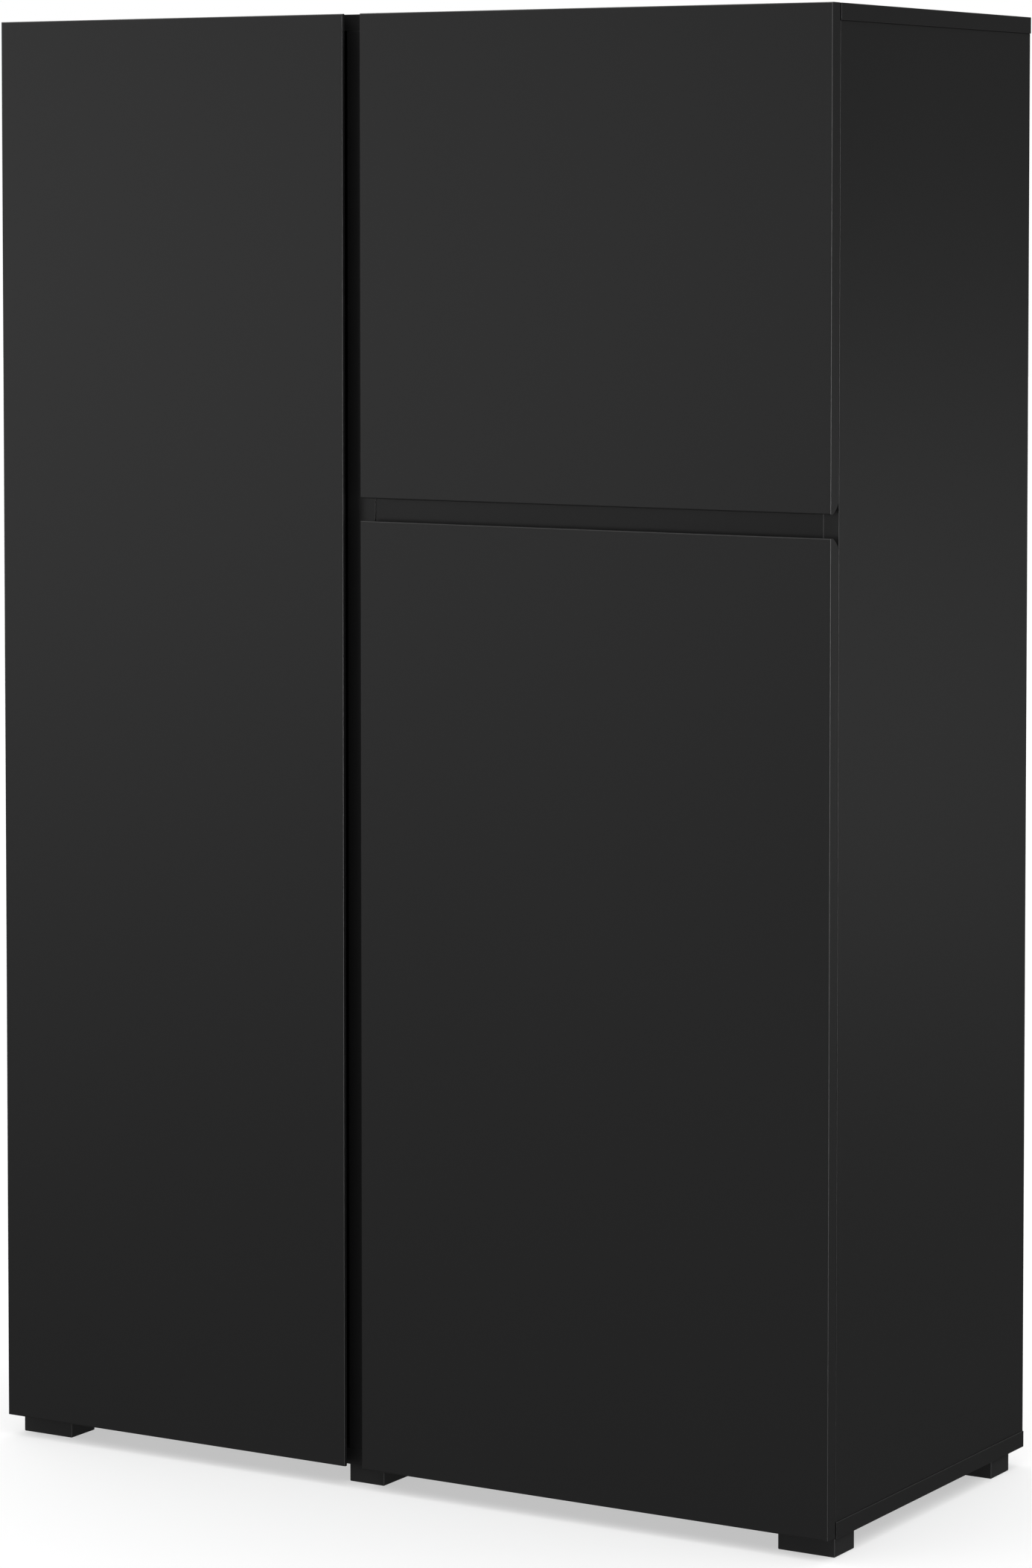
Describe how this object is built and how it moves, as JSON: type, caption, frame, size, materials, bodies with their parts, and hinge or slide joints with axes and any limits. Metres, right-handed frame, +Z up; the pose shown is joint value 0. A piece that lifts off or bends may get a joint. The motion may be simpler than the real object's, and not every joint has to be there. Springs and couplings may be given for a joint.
{
  "type": "wardrobe with doors",
  "caption": "Upright matt black wardrobe cabinet with a tall door, a short door over a longer one, finger grooves instead of handles, shelves, a clothes rod and low block feet.",
  "frame": {"origin": "middle of the bounding box at floor level, under the feet, doors closed", "axes": "+Z up; the doors face -Y; +X is to the right of someone facing the doors"},
  "size_m": [0.945, 0.424, 1.444],
  "materials": {
    "black_board": "matt black melamine on particle board",
    "black_door": "matt black foil on fibreboard",
    "hardboard": "black printed hardboard",
    "foot_plastic": "fine grained black plastic",
    "zinc_steel": "bright zinc plate",
    "zinc_casting": "die cast zinc",
    "beech": "plain beech",
    "dark_metal": "black powder coat",
    "soft_rubber": "soft translucent polyurethane, tinted grey",
    "nickel_steel": "nickel plate"
  },
  "bodies": {
    "carcass": {"top_panel": "black_board", "bottom_panel": "black_board", "left_side": "black_board", "right_side": "black_board", "partition": "black_board", "stile": "black_board", "mid_rail": "black_board", "mid_shelf": "black_board", "back_panel_left": "hardboard", "back_panel_right": "hardboard", "left_shelf_1": "black_board", "left_shelf_2": "black_board", "left_shelf_3": "black_board", "left_shelf_4": "black_board", "upper_shelf": "black_board", "foot_front_left": "foot_plastic", "foot_front_middle": "foot_plastic", "foot_front_right": "foot_plastic", "foot_rear_left": "foot_plastic", "foot_rear_middle": "foot_plastic", "foot_rear_right": "foot_plastic", "foot_screws": "zinc_steel", "shelf_pins": "zinc_steel", "cam_locks": "zinc_casting", "cam_bolts": "zinc_steel", "dowels": "beech", "clothes_rod": "dark_metal", "rod_bracket_front": "dark_metal", "rod_bracket_rear": "dark_metal", "rod_bracket_screws": "zinc_steel", "wall_bracket_left": "dark_metal", "wall_bracket_right": "dark_metal", "wall_bracket_screws": "zinc_steel", "door_bumpers": "soft_rubber", "hinge_plate_screws": "zinc_steel", "hinge_arm_screws": "zinc_steel", "left_hinge_arms": "nickel_steel", "left_hinge_plates": "nickel_steel", "upper_hinge_arms": "nickel_steel", "upper_hinge_plates": "nickel_steel", "lower_hinge_arms": "nickel_steel", "lower_hinge_plates": "nickel_steel"},
    "left_door": {"left_door": "black_door", "left_hinge_cups": "nickel_steel", "left_hinge_pins": "nickel_steel", "left_cup_screws": "zinc_steel"},
    "upper_right_door": {"upper_right_door": "black_door", "upper_hinge_cups": "nickel_steel", "upper_hinge_pins": "nickel_steel", "upper_cup_screws": "zinc_steel"},
    "lower_right_door": {"lower_right_door": "black_door", "lower_hinge_cups": "nickel_steel", "lower_hinge_pins": "nickel_steel", "lower_cup_screws": "zinc_steel"}
  },
  "joints": [
    {"name": "left_door_hinge", "type": "hinge", "parent": "carcass", "child": "left_door", "pos_m": [-0.4659, -0.2044, 0.7325], "axis": [0, 0, -1], "range_deg": [0, 100]},
    {"name": "upper_right_door_hinge", "type": "hinge", "parent": "carcass", "child": "upper_right_door", "pos_m": [0.4659, -0.2044, 1.2095], "axis": [0, 0, 1], "range_deg": [0, 100]},
    {"name": "lower_right_door_hinge", "type": "hinge", "parent": "carcass", "child": "lower_right_door", "pos_m": [0.4659, -0.2044, 0.487], "axis": [0, 0, 1], "range_deg": [0, 100]}
  ]
}
